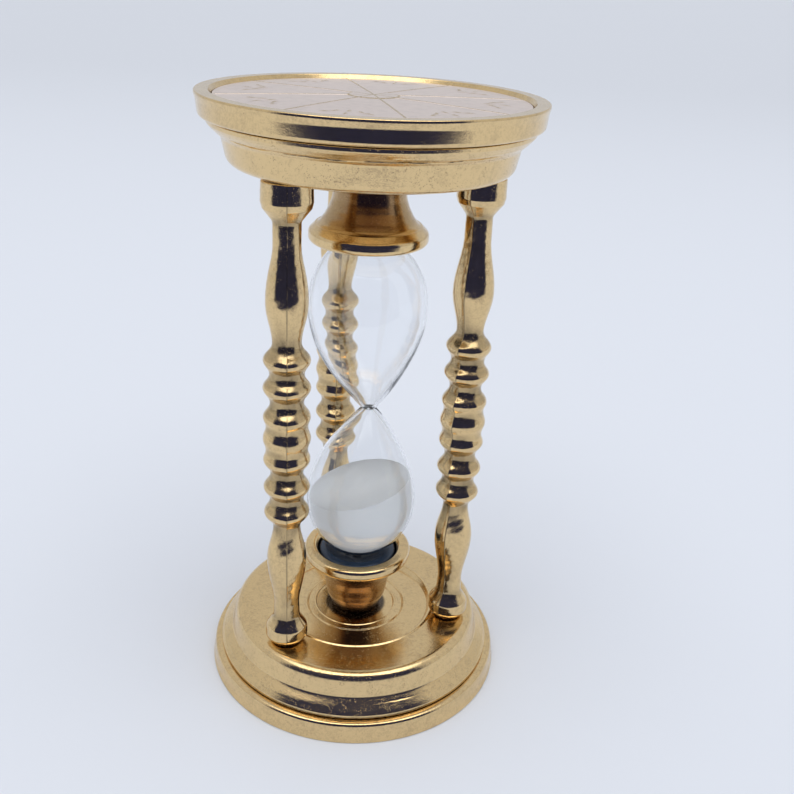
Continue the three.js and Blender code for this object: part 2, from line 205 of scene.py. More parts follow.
@dataclass
class Skin:
    """A closed skin on a grid: rings of points round an axis, closed at two poles or in a loop.

    Attributes:
        rings: array (rings, points in a ring, 3) of places in mm.
        loop: whether the last ring joins the first; otherwise the end rings are single points.
        tones: values for every point of the grid, by attribute name, that a finish reads.
    """

    rings: Array
    loop: bool = False
    tones: dict[str, Array] = field(default_factory=dict)

    def faces(self) -> tuple[Array, Array]:
        """Corner numbers of the skin's faces.

        Returns:
            Array (n, 4) of quads and array (m, 3) of the triangles round the poles.
        """
        count, around = self.rings.shape[:2]
        index = np.arange(count * around).reshape(count, around)
        beside = np.roll(index, -1, axis=1)
        if self.loop:
            above, above_beside = np.roll(index, -1, axis=0), np.roll(beside, -1, axis=0)
            quads = np.stack((index, beside, above_beside, above), -1).reshape(-1, 4)
            return quads, np.empty((0, 3), int)
        quads = np.stack((index[1:-2], beside[1:-2], beside[2:-1], index[2:-1]), -1).reshape(-1, 4)
        first = np.stack((np.full(around, index[0, 0]), beside[1], index[1]), -1)
        last = np.stack((index[-2], beside[-2], np.full(around, index[-1, 0])), -1)
        return quads, np.concatenate((first, last))

    def piece(self, name: str, crease: float = 40.0) -> Piece:
        """Makes the skin a mesh object whose faces point outwards.

        Args:
            name: the piece's name.
            crease: angle in degrees above which an edge stays sharp.

        Returns:
            The new object, at the origin, with its place in its mesh.
        """
        quads, triangles = self.faces()
        points = self.rings.reshape(-1, 3)
        used = np.unique(np.concatenate((quads.ravel(), triangles.ravel())))
        renumber = np.zeros(len(points), int)
        renumber[used] = np.arange(len(used))
        points, quads, triangles = points[used] * MM, renumber[quads], renumber[triangles]
        halves = np.concatenate((quads[:, [0, 1, 2]], quads[:, [0, 2, 3]], triangles))
        a, b, c = (points[halves[:, k]] for k in range(3))
        if float(np.einsum("ij,ij->i", a, np.cross(b, c)).sum()) < 0:
            quads, triangles = quads[:, ::-1], triangles[:, ::-1]

        mesh = bpy.data.meshes.new(name)
        corners = np.concatenate((quads.ravel(), triangles.ravel()))
        sizes = np.concatenate((np.full(len(quads), 4), np.full(len(triangles), 3)))
        mesh.vertices.add(len(points))
        mesh.vertices.foreach_set("co", points.astype(np.float32).ravel())
        mesh.loops.add(len(corners))
        mesh.loops.foreach_set("vertex_index", corners.astype(np.int32))
        mesh.polygons.add(len(sizes))
        mesh.polygons.foreach_set("loop_start", (np.cumsum(sizes) - sizes).astype(np.int32))
        mesh.polygons.foreach_set("use_smooth", np.ones(len(sizes), bool))
        mesh.update(calc_edges=True)
        mesh.validate()
        mesh.set_sharp_from_angle(angle=math.radians(crease))
        for tone, values in self.tones.items():
            attribute = mesh.attributes.new(tone, "FLOAT", "POINT")
            attribute.data.foreach_set("value", values.reshape(-1)[used].astype(np.float32))
        made = bpy.data.objects.new(name, mesh)
        bpy.context.scene.collection.objects.link(made)
        return made


def ring_angles(count: int) -> Array:
    """Evenly stepped azimuths of one full turn, in radians."""
    return np.arange(count) * (2 * math.pi / count)


def turned_skin(outline: Array, segments: int | Array, loop: bool = False,
                swell: Swell | None = None) -> Skin:
    """Turns an outline about Z: x = radius * cos(azimuth), y = radius * sin(azimuth), z = height.

    Args:
        outline: (radius, height) points in mm; the ends are on the axis unless it is a loop.
        segments: number of evenly stepped points in each ring, or the points' azimuths.
        loop: whether the outline closes on itself.
        swell: gives how far each point stands proud of the turned shape, in mm, from its azimuth, radius
            and height.

    Returns:
        The skin of the turned piece.
    """
    steps = ring_angles(segments) if isinstance(segments, int) else segments
    azimuth = np.broadcast_to(steps, (len(outline), len(steps)))
    radius = np.broadcast_to(outline[:, :1], azimuth.shape)
    height = np.broadcast_to(outline[:, 1:], azimuth.shape)
    if swell is not None:
        radius = radius + np.where(radius > 0.01, swell(azimuth, radius, height), 0)
    rings = np.stack((radius * np.cos(azimuth), radius * np.sin(azimuth), height), -1)
    return Skin(rings, loop)


def soft_waves(azimuth: Array, height: Array, seed: int, orders: int = 5) -> Array:
    """Slow unevenness of a hand-finished surface: a sum of a few waves round the axis and along it.

    Each wave is the sine of a whole number of turns of the azimuth plus a slow turn with height, and
    its size falls with its order.

    Args:
        azimuth: azimuths in radians.
        height: heights in mm.
        seed: number that fixes the waves' phases.
        orders: number of waves.

    Returns:
        Values of about -1 to 1.
    """
    source = np.random.default_rng(seed)
    total = np.zeros(np.broadcast(azimuth, height).shape)
    for order in range(1, orders + 1):
        phase, lean = source.uniform(0, 2 * math.pi), source.uniform(-0.35, 0.35)
        total = total + np.sin(order * azimuth + lean * height + phase) / order
    return total / 2.3


def smooth_step(value: Array, low: float, high: float) -> Array:
    """Rises smoothly from 0 at low to 1 at high."""
    share = np.clip((value - low) / (high - low), 0, 1)
    return share * share * (3 - 2 * share)


def window(value: Array, start: float, full: float, fade: float, end: float) -> Array:
    """Rises smoothly from 0 at start to 1 at full, and falls back from 1 at fade to 0 at end."""
    return smooth_step(value, start, full) * (1 - smooth_step(value, fade, end))


# ---- finishes ----

def rgba(colour: Colour) -> tuple[float, float, float, float]:
    """A colour with full opacity."""
    return (*colour, 1.0)


class NodeGraph:
    """A shader node tree. Each method adds a node and returns its output."""

    def __init__(self, tree: bpy.types.NodeTree) -> None:
        """Takes the tree that the nodes go into."""
        self.nodes, self.links = tree.nodes, tree.links

    def add(self, kind: str, plugs: dict, **settings: object) -> bpy.types.Node:
        """Adds a node.

        Args:
            kind: the node's type name.
            plugs: values or outputs for its inputs, by name or number.
            settings: its properties.

        Returns:
            The new node.
        """
        node = self.nodes.new(kind)
        for key, value in settings.items():
            setattr(node, key, value)
        for key, value in plugs.items():
            if isinstance(value, Socket):
                self.links.new(value, node.inputs[key])
            else:
                node.inputs[key].default_value = value
        return node

    def math(self, operation: str, first: Socket | float, second: Socket | float = 0.0) -> Socket:
        """Arithmetic on one or two values."""
        return self.add("ShaderNodeMath", {0: first, 1: second}, operation=operation).outputs[0]

    def total(self, *parts: tuple[Socket | float, float]) -> Socket | float:
        """Sum of values, each times its own weight."""
        result = None
        for value, weight in parts:
            share = value if weight == 1 else self.math("MULTIPLY", value, weight)
            result = share if result is None else self.math("ADD", result, share)
        return result

    def noise(self, vector: Socket, scale: float, detail: float = 3.0, rough: float = 0.55) -> Socket:
        """Cloudy noise of about 0 to 1; scale is in waves per unit of the vector."""
        plugs = {"Vector": vector, "Scale": scale, "Detail": detail, "Roughness": rough}
        return self.add("ShaderNodeTexNoise", plugs).outputs[0]

    def cells(self, vector: Socket, scale: float) -> Socket:
        """Distance to the nearest of many scattered points, in cells."""
        return self.add("ShaderNodeTexVoronoi", {"Vector": vector, "Scale": scale}).outputs["Distance"]

    def span(self, value: Socket, low: float, high: float, start: float = 0.0,
             end: float = 1.0) -> Socket:
        """Maps low..high smoothly to start..end."""
        plugs = {0: value, 1: low, 2: high, 3: start, 4: end}
        return self.add("ShaderNodeMapRange", plugs, interpolation_type="SMOOTHSTEP").outputs[0]

    def blend(self, share: Socket, first: Colour | Socket, second: Colour | Socket) -> Socket:
        """Mixes two colours by a share."""
        ends = [end if isinstance(end, Socket) else rgba(end) for end in (first, second)]
        return self.add("ShaderNodeMix", {0: share, 6: ends[0], 7: ends[1]}, data_type="RGBA").outputs[2]


class FinishGraph(NodeGraph):
    """The node tree of one finish, with a principled shader and Object coordinates."""

    def __init__(self, name: str) -> None:
        """Starts the material."""
        self.material = bpy.data.materials.new(name)
        self.material.use_nodes = True
        super().__init__(self.material.node_tree)
        self.shader = self.nodes["Principled BSDF"]
        self.place = self.nodes.new("ShaderNodeTexCoord").outputs["Object"]

    def centred(self, x: float, y: float) -> Socket:
        """Object coordinates measured in mm from an upright axis."""
        moved = self.add("ShaderNodeMapping", {0: self.place, "Location": (-x * MM, -y * MM, 0)})
        return self.add("ShaderNodeVectorMath", {0: moved.outputs[0], "Scale": 1 / MM},
                        operation="SCALE").outputs[0]

    def tone(self, name: str) -> Socket:
        """One of the piece's own point values."""
        return self.add("ShaderNodeAttribute", {}, attribute_name=name).outputs["Fac"]

    def relief(self, height: Socket, depth: float, normal: Socket | None = None) -> Socket:
        """Bump from a height of 0 to 1 that stands for a depth in mm."""
        plugs: dict = {"Height": height, "Distance": depth * MM, "Strength": 1.0}
        if normal is not None:
            plugs["Normal"] = normal
        return self.add("ShaderNodeBump", plugs).outputs[0]

    def plug(self, name: str, value: Socket | float | Colour) -> None:
        """Sets one of the shader's inputs."""
        if isinstance(value, Socket):
            self.links.new(value, self.shader.inputs[name])
        else:
            self.shader.inputs[name].default_value = rgba(value) if isinstance(value, tuple) else value


@dataclass(frozen=True)
class Brass:
    """Aged brass, polished on the proud parts; where a piece carries painted shade it is duller and
    darkened.

    Attributes:
        name: the finish's name.
        film: share of the surface that a thin brown film takes, 0 to 1.
        gloss: roughness of the brightest parts; dull is the dullest ones'.
        specks: share of dark specks, 0 to 1.
        grain: depth in mm of the fine satin unevenness.
        pits: depth in mm of the casting pits.
        speck_size: size of a speck's cell in mm.
        turning: depth in mm of the lathe's lines, which are line_pitch mm apart.
        clean: colour of bright metal; tarnish and soot are those of film and specks, and the colour
            between them is that of the painted shade.
        film_strength: how much of the metal's colour the film hides; the next two say it of the
            painted shade and of the specks.
    """

    name: str
    film: float
    gloss: float
    dull: float
    specks: float
    grain: float
    pits: float
    speck_size: float = 0.55
    turning: float = 0.0
    line_pitch: float = 0.22
    clean: Colour = (0.80, 0.588, 0.305)
    tarnish: Colour = (0.54, 0.395, 0.215)
    painted_shade_colour: Colour = (0.42, 0.27, 0.12)
    soot: Colour = (0.12, 0.085, 0.045)
    film_strength: float = 0.62
    painted_shade_strength: float = 0.88
    speck_strength: float = 0.8

    def material(self, axis: tuple[float, float] = (0.0, 0.0), hollows: bool = False) -> Material:
        """Builds the finish.

        Cloudy film, specks and pits are noise on Object coordinates. Lathe lines are noise of the radius
        and the height, drawn out along the turn.

        Args:
            axis: place of the piece's own turning axis, in mm.
            hollows: whether the piece carries a painted-shade value, 1 where shade is painted in and the
                surface is duller.

        Returns:
            The material.
        """
        graph = FinishGraph(self.name)
        spot = graph.centred(*axis)
        clouds = graph.noise(spot, 0.16, 4.0, 0.6)
        mottle = graph.noise(spot, 0.9, 3.0, 0.65)
        fine = graph.noise(spot, 2.6, 4.0, 0.7)
        # painted shade: the piece's painted-shade value, or none
        hollow: Socket | float = graph.tone("hollow") if hollows else 0.0
        worn = graph.total((clouds, 0.25), (mottle, 0.3), (fine, 0.45))
        film_start = 0.53 - 0.2 * self.film
        film = graph.span(worn, film_start, film_start + 0.16)
        colour = graph.blend(graph.math("MULTIPLY", film, self.film_strength), self.clean, self.tarnish)
        # painted shade: darkens the colour by the painted-shade value
        colour = graph.blend(graph.math("MULTIPLY", hollow, self.painted_shade_strength), colour, self.painted_shade_colour)

        reach = 0.10 + 0.22 * self.specks
        gate = graph.span(graph.noise(spot, 0.45, 2.0), 0.62 - 0.25 * self.specks, 0.74)
        gate = graph.math("MAXIMUM", gate, hollow)
        speck = graph.span(graph.cells(spot, 1 / self.speck_size), reach, reach * 0.45)
        speck = graph.math("MULTIPLY", speck, gate)
        colour = graph.blend(graph.math("MULTIPLY", speck, self.speck_strength), colour, self.soot)
        graph.plug("Base Color", colour)
        graph.plug("Metallic", 1.0)

        rough = graph.span(worn, 0.4, 0.62, self.gloss, self.dull)
        graph.plug("Roughness", graph.total((rough, 1), (hollow, 0.09), (speck, 0.3)))

        bump = graph.relief(fine, self.grain)
        bump = graph.relief(graph.math("SUBTRACT", 1.0, speck), self.pits, bump)
        if self.turning > 0:
            bump = graph.relief(self.lathe_lines(graph, spot), self.turning, bump)
        graph.plug("Normal", bump)
        return graph.material

    def lathe_lines(self, graph: FinishGraph, spot: Socket) -> Socket:
        """Noise of radius and height, drawn out along the turn.

        Args:
            graph: the finish's node tree.
            spot: place in mm from the turning axis.

        Returns:
            A height of about 0 to 1.
        """
        parts = graph.add("ShaderNodeSeparateXYZ", {0: spot}).outputs
        squares = [graph.math("MULTIPLY", part, part) for part in parts[:2]]
        radius = graph.math("SQRT", graph.math("ADD", *squares))
        pitch = 1 / self.line_pitch
        level = graph.math("MULTIPLY", parts[2], pitch)
        around = graph.add("ShaderNodeCombineXYZ", {
            0: graph.math("MULTIPLY", radius, pitch),
            1: graph.math("DIVIDE", parts[0], radius),
            2: graph.math("DIVIDE", parts[1], radius),
        }).outputs[0]
        plugs = {"Vector": around, "W": level, "Scale": 1.0, "Detail": 2.0}
        return graph.add("ShaderNodeTexNoise", plugs, noise_dimensions="4D").outputs[0]


@dataclass(frozen=True)
class ReliefBrass:
    """Pressed relief disc: a satin, pinkish ground with bright brass where the relief is rubbed."""

    name: str = "relief_brass"
    ground: Colour = (0.80, 0.71, 0.665)
    worn_ground: Colour = (0.74, 0.66, 0.62)
    rubbed: Colour = (0.60, 0.45, 0.25)

    def material(self) -> Material:
        """Builds the finish; it reads the disc's "raised" value, 1 on top of the relief."""
        graph = FinishGraph(self.name)
        spot = graph.centred(0, 0)
        raised = graph.tone("raised")
        mottle = graph.noise(spot, 0.5, 4.0, 0.6)
        fine = graph.noise(spot, 5.0, 3.0, 0.6)
        uneven = graph.span(mottle, 0.3, 0.5, 0.55, 1.0)
        rubbed = graph.math("MULTIPLY", graph.span(raised, 0.45, 0.95), uneven)
        ground = graph.blend(graph.span(mottle, 0.4, 0.7), self.ground, self.worn_ground)
        graph.plug("Base Color", graph.blend(rubbed, ground, self.rubbed))
        graph.plug("Metallic", 1.0)
        satin = graph.span(fine, 0.3, 0.7, 0.42, 0.54)
        graph.plug("Roughness", graph.total((satin, 1), (rubbed, -0.22)))
        graph.plug("Normal", graph.relief(fine, 0.012))
        return graph.material


@dataclass(frozen=True)
class Rubber:
    """Moulded rubber with a soft shine.

    Attributes:
        name: the finish's name.
        colour: its colour.
        rough: its roughness.
    """

    name: str
    colour: Colour
    rough: float

    def material(self) -> Material:
        """Builds the finish: faint mottling and the fine skin of a moulding."""
        graph = FinishGraph(self.name)
        spot = graph.centred(0, 0)
        mottle = graph.noise(spot, 1.1, 3.0)
        paler = tuple(1.6 * part + 0.004 for part in self.colour)
        graph.plug("Base Color", graph.blend(mottle, self.colour, paler))
        graph.plug("Roughness", graph.span(mottle, 0.3, 0.7, self.rough - 0.04, self.rough + 0.06))
        graph.plug("Normal", graph.relief(graph.noise(spot, 6.0), 0.004))
        return graph.material


@dataclass(frozen=True)
class Steel:
    """Plated steel of the hidden screws and washers: its plating and its dull patches."""

    name: str = "steel_fixing"
    plating: Colour = (0.62, 0.62, 0.63)
    patches: Colour = (0.42, 0.41, 0.40)

    def material(self) -> Material:
        """Builds the finish: grey plating with fine scratches and dull patches."""
        graph = FinishGraph(self.name)
        spot = graph.centred(0, 0)
        patches = graph.noise(spot, 0.8, 4.0)
        graph.plug("Base Color", graph.blend(patches, self.plating, self.patches))
        graph.plug("Metallic", 1.0)
        graph.plug("Roughness", graph.span(patches, 0.3, 0.7, 0.22, 0.42))
        graph.plug("Normal", graph.relief(graph.noise(spot, 9.0), 0.005))
        return graph.material


@dataclass(frozen=True)
class Glass:
    """Clear blown glass, very slightly uneven."""

    name: str = "clear_glass"

    def material(self) -> Material:
        """Builds the finish: a smooth dielectric with long, shallow waves from the blowing."""
        graph = FinishGraph(self.name)
        graph.plug("Base Color", (0.985, 0.992, 1.0))
        graph.plug("Transmission Weight", 1.0)
        graph.plug("IOR", 1.5)
        graph.plug("Roughness", 0.0)
        spot = graph.centred(0, 0)
        graph.plug("Normal", graph.relief(graph.noise(spot, 0.12, 1.0), 0.05))
        return graph.material


@dataclass(frozen=True)
class Sand:
    """Fine white sand, with a faint even glow painted in as emission, standing in for light that reaches
    it.
    """

    name: str = "white_sand"
    pale: Colour = (0.945, 0.955, 0.96)
    deep: Colour = (0.90, 0.92, 0.935)
    grain_gap_shade: Colour = (0.80, 0.82, 0.84)
    painted_glow: Colour = (0.92, 0.97, 1.0)

    def material(self) -> Material:
        """Builds the finish: pale grains with slow drifts of tone and a grainy relief."""
        graph = FinishGraph(self.name)
        spot = graph.centred(0, 0)
        drifts = graph.noise(spot, 0.12, 3.0)
        grains = graph.cells(spot, 7.0)
        tone = graph.blend(graph.span(drifts, 0.35, 0.65), self.deep, self.pale)
        # painted shade in the gaps between grains
        graph.plug("Base Color", graph.blend(graph.span(grains, 0.2, 0.8, 0.0, 0.35), tone, self.grain_gap_shade))
        graph.plug("Roughness", 0.9)
        # painted light: the sand glows though it is no lamp
        graph.plug("Emission Color", self.painted_glow)
        graph.plug("Emission Strength", 0.12)
        graph.plug("Normal", graph.relief(grains, 0.05))
        return graph.material


# ---- pieces ----

def dress(piece: Piece, finish: Material, slot: str, *nodes: str) -> Piece:
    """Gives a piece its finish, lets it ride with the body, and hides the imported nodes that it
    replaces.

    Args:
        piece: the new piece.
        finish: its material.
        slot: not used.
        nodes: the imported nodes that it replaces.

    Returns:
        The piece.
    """
    piece.data.materials.append(finish)
    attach(piece, BODY)
    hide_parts(*nodes)
    log.info("%s: %d points, in %s", piece.name, len(piece.data.vertices), finish.name)
    return piece


class End(Enum):
    """The two ends of the hourglass. The top is the same assembly turned over about Y."""

    BOTTOM = "bottom"
    TOP = "top"

    def stand(self, skin: Skin, height: float) -> Skin:
        """Puts a skin made for the bottom at this end.

        A half turn about Y takes (x, y, z) to (-x, y, height - z).

        Args:
            skin: the skin as it stands at the bottom.
            height: overall height in mm.

        Returns:
            The skin at this end.
        """
        if self is End.BOTTOM:
            return skin
        turned = skin.rings * np.array([-1.0, 1.0, -1.0]) + np.array([0.0, 0.0, height])
        return Skin(turned, skin.loop, skin.tones)


@dataclass
class EndAssembly:
    """Cap, relief disc, end plate, glass cup and cushion of one end.

    Heights are from the end's outer face, and all lengths are in mm.

    Attributes:
        end: which end this is.
        height: overall height of the hourglass.
        cap_radius: radius of the cap's rim.
        segments: points in each ring of the wide pieces.
        gap: space between neighbouring pieces.
        spigot_radius: radius of the cap's lip that enters the plate.
        plate_outer: height of the plate's outer face; plate_inner is its inner face's.
        seat_face: height of the turned seat round the cup; its middle is lower by seat_sink.
        edge_depth: depth of the disc's domed face at its edge; centre_depth is the middle's.
        relief: how far the disc's relief stands proud.
        spoke_turn: azimuth of the first spoke in degrees.
    """

    end: End
    height: float
    cap_radius: float
    segments: int = 288
    gap: float = 0.3
    cap_thickness: float = 5.4
    recess_radius: float = 35.3
    recess_depth: float = 2.1
    spigot_radius: float = 31.8
    spigot_end: float = 7.6
    plate_outer: float = 5.7
    plate_inner: float = 15.6
    seat_face: float = 14.5
    seat_sink: float = 0.26
    disc_back: float = 1.8
    edge_depth: float = 0.95
    centre_depth: float = 0.5
    relief: float = 0.22
    spoke_turn: float = 33.2
    spoke_half_width: float = 0.2
    boss_radius: float = 5.6

    def build(self) -> list[Piece]:
        """Builds and dresses the end's pieces.

        Returns:
            The five pieces.
        """
        polished = Brass("polished_brass", film=0.45, gloss=0.07, dull=0.15, specks=0.3, grain=0.02,
                         pits=0.02, turning=0.002)
        # the plate's near-black shade colour paints the shade under the cup
        cast = Brass("cast_brass_plate", film=0.3, gloss=0.08, dull=0.2, specks=0.85, grain=0.024,
                     pits=0.045, speck_size=0.42, turning=0.004, painted_shade_colour=(0.03, 0.03, 0.04))
        # the cup's dark orange-brown shade colour paints shade and brass reflection on the stem
        cup = Brass("polished_brass_cup", film=0.4, gloss=0.07, dull=0.16, specks=0.35, grain=0.018,
                    pits=0.02, turning=0.002, painted_shade_colour=(0.17, 0.07, 0.032))
        rubber = Rubber("black_rubber", (0.010, 0.024, 0.052), 0.16)
        return [
            self.place("end_cap", self.cap(), polished.material(), "polished_brass"),
            self.place("relief_disc", self.disc(), ReliefBrass().material(), "relief_brass"),
            self.place("end_plate", self.plate(), cast.material(hollows=True), "cast_brass"),
            self.place("glass_cup", self.cup(), cup.material(hollows=True), "polished_brass"),
            self.place("cushion", self.cushion(), rubber.material(), "black_rubber"),
        ]

    def place(self, part: str, skin: Skin, finish: Material, slot: str) -> Piece:
        """Stands a skin at this end and dresses it.

        Args:
            part: name of the piece without its end.
            skin: the skin as it stands at the bottom.
            finish: its material.
            slot: handed on to dress.

        Returns:
            The piece.
        """
        node = f"{self.end.value}_{part}"
        piece = self.end.stand(skin, self.height).piece(f"{node}_surface")
        return dress(piece, finish, slot, node)

    def own_seed(self, seed: int) -> int:
        """A seed for this end: the top's is the next number after the bottom's."""
        return seed + (self.end is End.TOP)

    def unevenness(self, seed: int) -> Swell:
        """Slow waves of a polished piece, a few hundredths of a millimetre high."""
        return lambda azimuth, radius, height: 0.03 * soft_waves(azimuth, height, self.own_seed(seed))

    def cap(self) -> Skin:
        """Cap: a raised rim round a shallow recess, a flared side, and the spigot for the plate."""
        web = self.recess_depth + 1.9
        inner = self.spigot_radius - 2.2
        outline = turned_outline(
            (0, self.recess_depth), (self.recess_radius, self.recess_depth, 0.1),
            (self.recess_radius, self.edge_depth + 0.1, 0.1), (self.recess_radius + 0.6, 0, 0.3),
            (self.cap_radius - 0.1, 0, 0.4), (self.cap_radius, 0.5, 0.4), (38.64, 1.9, 2.0),
            (38.3, self.cap_thickness - 0.15, 0.95), (36.4, self.cap_thickness, 0.15),
            (self.spigot_radius, self.cap_thickness, 0.1), (self.spigot_radius, self.spigot_end, 0.3),
            (inner, self.spigot_end, 0.3), (inner, web, 0.3), (0, web),
        )
        return turned_skin(outline, self.segments, swell=self.unevenness(11))

    def plate(self) -> Skin:
        """Plate: stepped side, foot band, and an inner face with a turned seat round the cup.

        Returns:
            The plate's skin; its point value marks painted shade and a painted dark reflection under the
            cup.
        """
        dish = self.spigot_radius + self.gap
        face, seat, low = self.plate_inner, self.seat_face, self.seat_face - self.seat_sink
        outline = turned_outline(
            (0, 11.9), (dish, 11.9, 0.3), (dish, self.plate_outer, 0.2),
            (36.6, self.plate_outer, 0.2), (36.55, 6.6, 0.4), (35.95, 7.3, 0.5),
            *((35.95 - 2.4 * part, 7.3 + 2.25 * part) for part in np.linspace(0.1, 0.8, 20)),
            (33.55, 9.55, 1.6), (33.1, 11.6, 3.0), (32.25, face, 2.4),
            (21.5, face, 0.3), (21.1, face + 0.28, 0.3), (20.5, face + 0.22, 0.35),
            (19.7, seat, 0.4), (13.35, seat, 0.1), (13.05, seat - 0.3, 0.08), (12.75, seat, 0.1),
            (11.15, seat, 0.1), (10.95, seat + 0.16, 0.12), (10.6, seat + 0.12, 0.12),
            (10.35, low, 0.12), *((radius, low) for radius in (8.7, 8.3, 7.9, 7.5, 7.0, 0)),
            step=1.2,
        )
        segments = 2 * self.segments
        skin = turned_skin(outline, segments, swell=self.casting_marks)
        # painted shade and a painted dark reflection under the cup's foot
        painted_shade_under_cup = (1 - smooth_step(outline[:, 0], 7.6, 8.6)) * (outline[:, 1] > 14)
        skin.tones["hollow"] = np.repeat(painted_shade_under_cup[:, None], segments, 1)
        return skin

    def casting_marks(self, azimuth: Array, radius: Array, height: Array) -> Array:
        """Slow waves on the plate's side, a fold along part of its flare and a ragged groove.

        The fold is a bell curve of the height, steeper below its crest than above it. The groove is a
        narrow bell curve of the height, and its place and depth wander with the azimuth.

        Args:
            azimuth: azimuths in radians.
            radius: radii in mm.
            height: heights in mm.

        Returns:
            Swell in mm.
        """
        seed = self.own_seed(21)
        start, stop, ragged = (215, 330, 0.26) if self.end is End.TOP else (276, 300, 0.035)
        fade = 8
        side = smooth_step(radius, 32.0, 32.6)
        degrees = np.degrees(azimuth)
        level = np.zeros_like(radius)
        above = height - 7.95 - 0.05 * soft_waves(5 * azimuth, level, 7)
        fold = 0.13 * np.exp(-(above / np.where(above > 0, 0.95, 0.36)) ** 2)
        fold = fold * window(degrees, 196, 205, 262, 266)
        wander = 8.55 + 0.16 * soft_waves(11 * azimuth, level, seed + 5, 12)
        depth = ragged * (1 + 0.9 * soft_waves(13 * azimuth, level, seed + 6, 10))
        groove = depth * np.exp(-((height - wander) / 0.14) ** 2)
        groove = groove * window(degrees, start, start + fade, stop - fade, stop)
        return side * (0.04 * soft_waves(azimuth, height, seed) + fold - groove)

    def cup(self) -> Skin:
        """Cup: a flared bell on a short stem, with beads at its foot, a step and a rolled rim.

        Returns:
            The cup's skin; its point value marks painted shade and painted reflection on the stem,
            darkest on the side towards -Y.
        """
        foot = self.seat_face + self.gap - self.seat_sink
        flare = [(7.3, 17.2), (7.95, 19.0), (8.35, 21.0), (8.7, 23.2), (9.4, 25.2), (10.4, 27.2),
                 (11.6, 28.75)]
        outline = turned_outline(
            (0, foot), (5.7, foot, 0.1), (5.7, foot + 0.8, 0.2), (6.5, foot + 0.95, 0.2),
            (6.85, foot + 1.5, 0.3), *((*place, 6.0) for place in flare),
            (12.15, 29.1, 0.12), (12.5, 29.15, 0.12), (14.1, 30.75, 1.3), (14.15, 33.35, 1.75),
            (11.3, 33.3, 0.8), (10.6, 32.3, 0.5), (10.5, 29.6, 0.5), (7.4, 25.0, 0.3), (0, 25.0),
            step=0.6,
        )
        segments = self.segments // 2
        skin = turned_skin(outline, segments, swell=self.unevenness(31))
        outside = outline[:, 0] > 0.674 * outline[:, 1] - 8.75
        # painted shade and reflection on the stem, strongest on the side towards -Y
        stem_painted_shade = (1 - smooth_step(outline[:, 1], 27.2, 30.2)) * outside
        away = (ring_angles(segments) - 1.5 * math.pi) / 0.95
        skin.tones["hollow"] = stem_painted_shade[:, None] * (0.3 + 0.7 * np.exp(-away ** 2))[None]
        return skin

    def cushion(self) -> Skin:
        """Cushion: a rubber ring that fills the cup under its lip, hollowed for the bulb."""
        outline = turned_outline(
            (2.9, 25.3, 0.2), (7.25, 25.3, 0.2), (10.2, 29.75, 0.5), (10.2, 32.35, 0.9),
            (8.6, 32.75, 1.6), (6.2, 32.15, 3.0), (4.2, 31.5, 2.0), (2.9, 31.2, 0.3),
            loop=True, step=0.6,
        )
        return turned_skin(outline, 120, loop=True)

    def disc(self) -> Skin:
        """Relief disc: a shallow dome with eight spokes that run from a centre boss to the edge.

        Depth below the rim is the dome's depth, which grows with the square of the radius, less the
        relief.

        Returns:
            The disc's skin, with its "raised" value.
        """
        edge = self.recess_radius - self.gap
        boss = self.boss_radius
        rings = np.concatenate((
            np.linspace(0.0, boss - 0.5, 12),
            np.linspace(boss - 0.3, boss + 0.35, 9),
            np.linspace(boss + 0.6, edge - 0.25, 110),
            [edge - 0.12, edge],
        ))
        azimuth, across = self.spoke_grid(rings)
        radius = np.broadcast_to(rings[:, None], azimuth.shape)

        spoke = 1 - smooth_step(across, self.spoke_half_width * 0.8, self.spoke_half_width + 0.2)
        spoke = spoke * (1 - smooth_step(radius, edge - 0.5, edge - 0.1))
        raised_boss = 1 - smooth_step(radius, boss - 0.25, boss + 0.3)
        sprigs = self.sprigs(azimuth, radius)
        rise = np.maximum(0.6 * np.maximum(spoke, raised_boss), sprigs)
        dome = self.centre_depth + (self.edge_depth - self.centre_depth) * (radius / edge) ** 2
        depth = dome - self.relief * rise
        top = np.stack((radius * np.cos(azimuth), radius * np.sin(azimuth), depth), -1)
        back = top[[-1, 0]]
        back[..., 2] = self.disc_back
        rubbed = np.maximum(np.maximum(spoke, np.exp(-((radius - boss) / 0.5) ** 2)), sprigs)
        tone = np.concatenate((rubbed, np.zeros((2, rubbed.shape[1]))))
        return Skin(np.concatenate((top, back)), tones={"raised": tone})

    def spoke_grid(self, rings: Array) -> tuple[Array, Array]:
        """Points of the disc's rings, which crowd towards the spokes to keep their sides straight.

        Args:
            rings: radii of the rings in mm.

        Returns:
            The points' azimuths in radians and their distances in mm from the nearest spoke's middle.
        """
        sector = math.pi / 8
        safe = np.maximum(rings, 1.2)
        half, side = self.spoke_half_width, self.spoke_half_width + 0.22
        crest = np.minimum(np.arcsin(np.clip(half / safe, 0, 0.9)), 0.5 * sector)
        foot = np.minimum(np.arcsin(np.clip(side / safe, 0, 0.95)), 0.8 * sector)
        knots = np.stack((np.zeros_like(rings), crest, foot, np.full_like(rings, sector)), 1)
        shares = (np.linspace(0, 1, 4)[:-1], np.linspace(1, 2, 6)[:-1], np.linspace(2, 3, 23))
        spread = np.concatenate(shares)
        low = np.minimum(spread.astype(int), 2)
        steps = knots[:, low] * (1 - (spread - low)) + knots[:, low + 1] * (spread - low)
        offsets = np.concatenate((-steps[:, :0:-1], steps[:, :-1]), 1)
        middles = math.radians(self.spoke_turn) + np.arange(8) * math.pi / 4
        azimuth = (middles[None, :, None] + offsets[:, None, :]).reshape(len(rings), -1)
        return azimuth, np.abs(np.tile(offsets, (1, 8))) * rings[:, None]

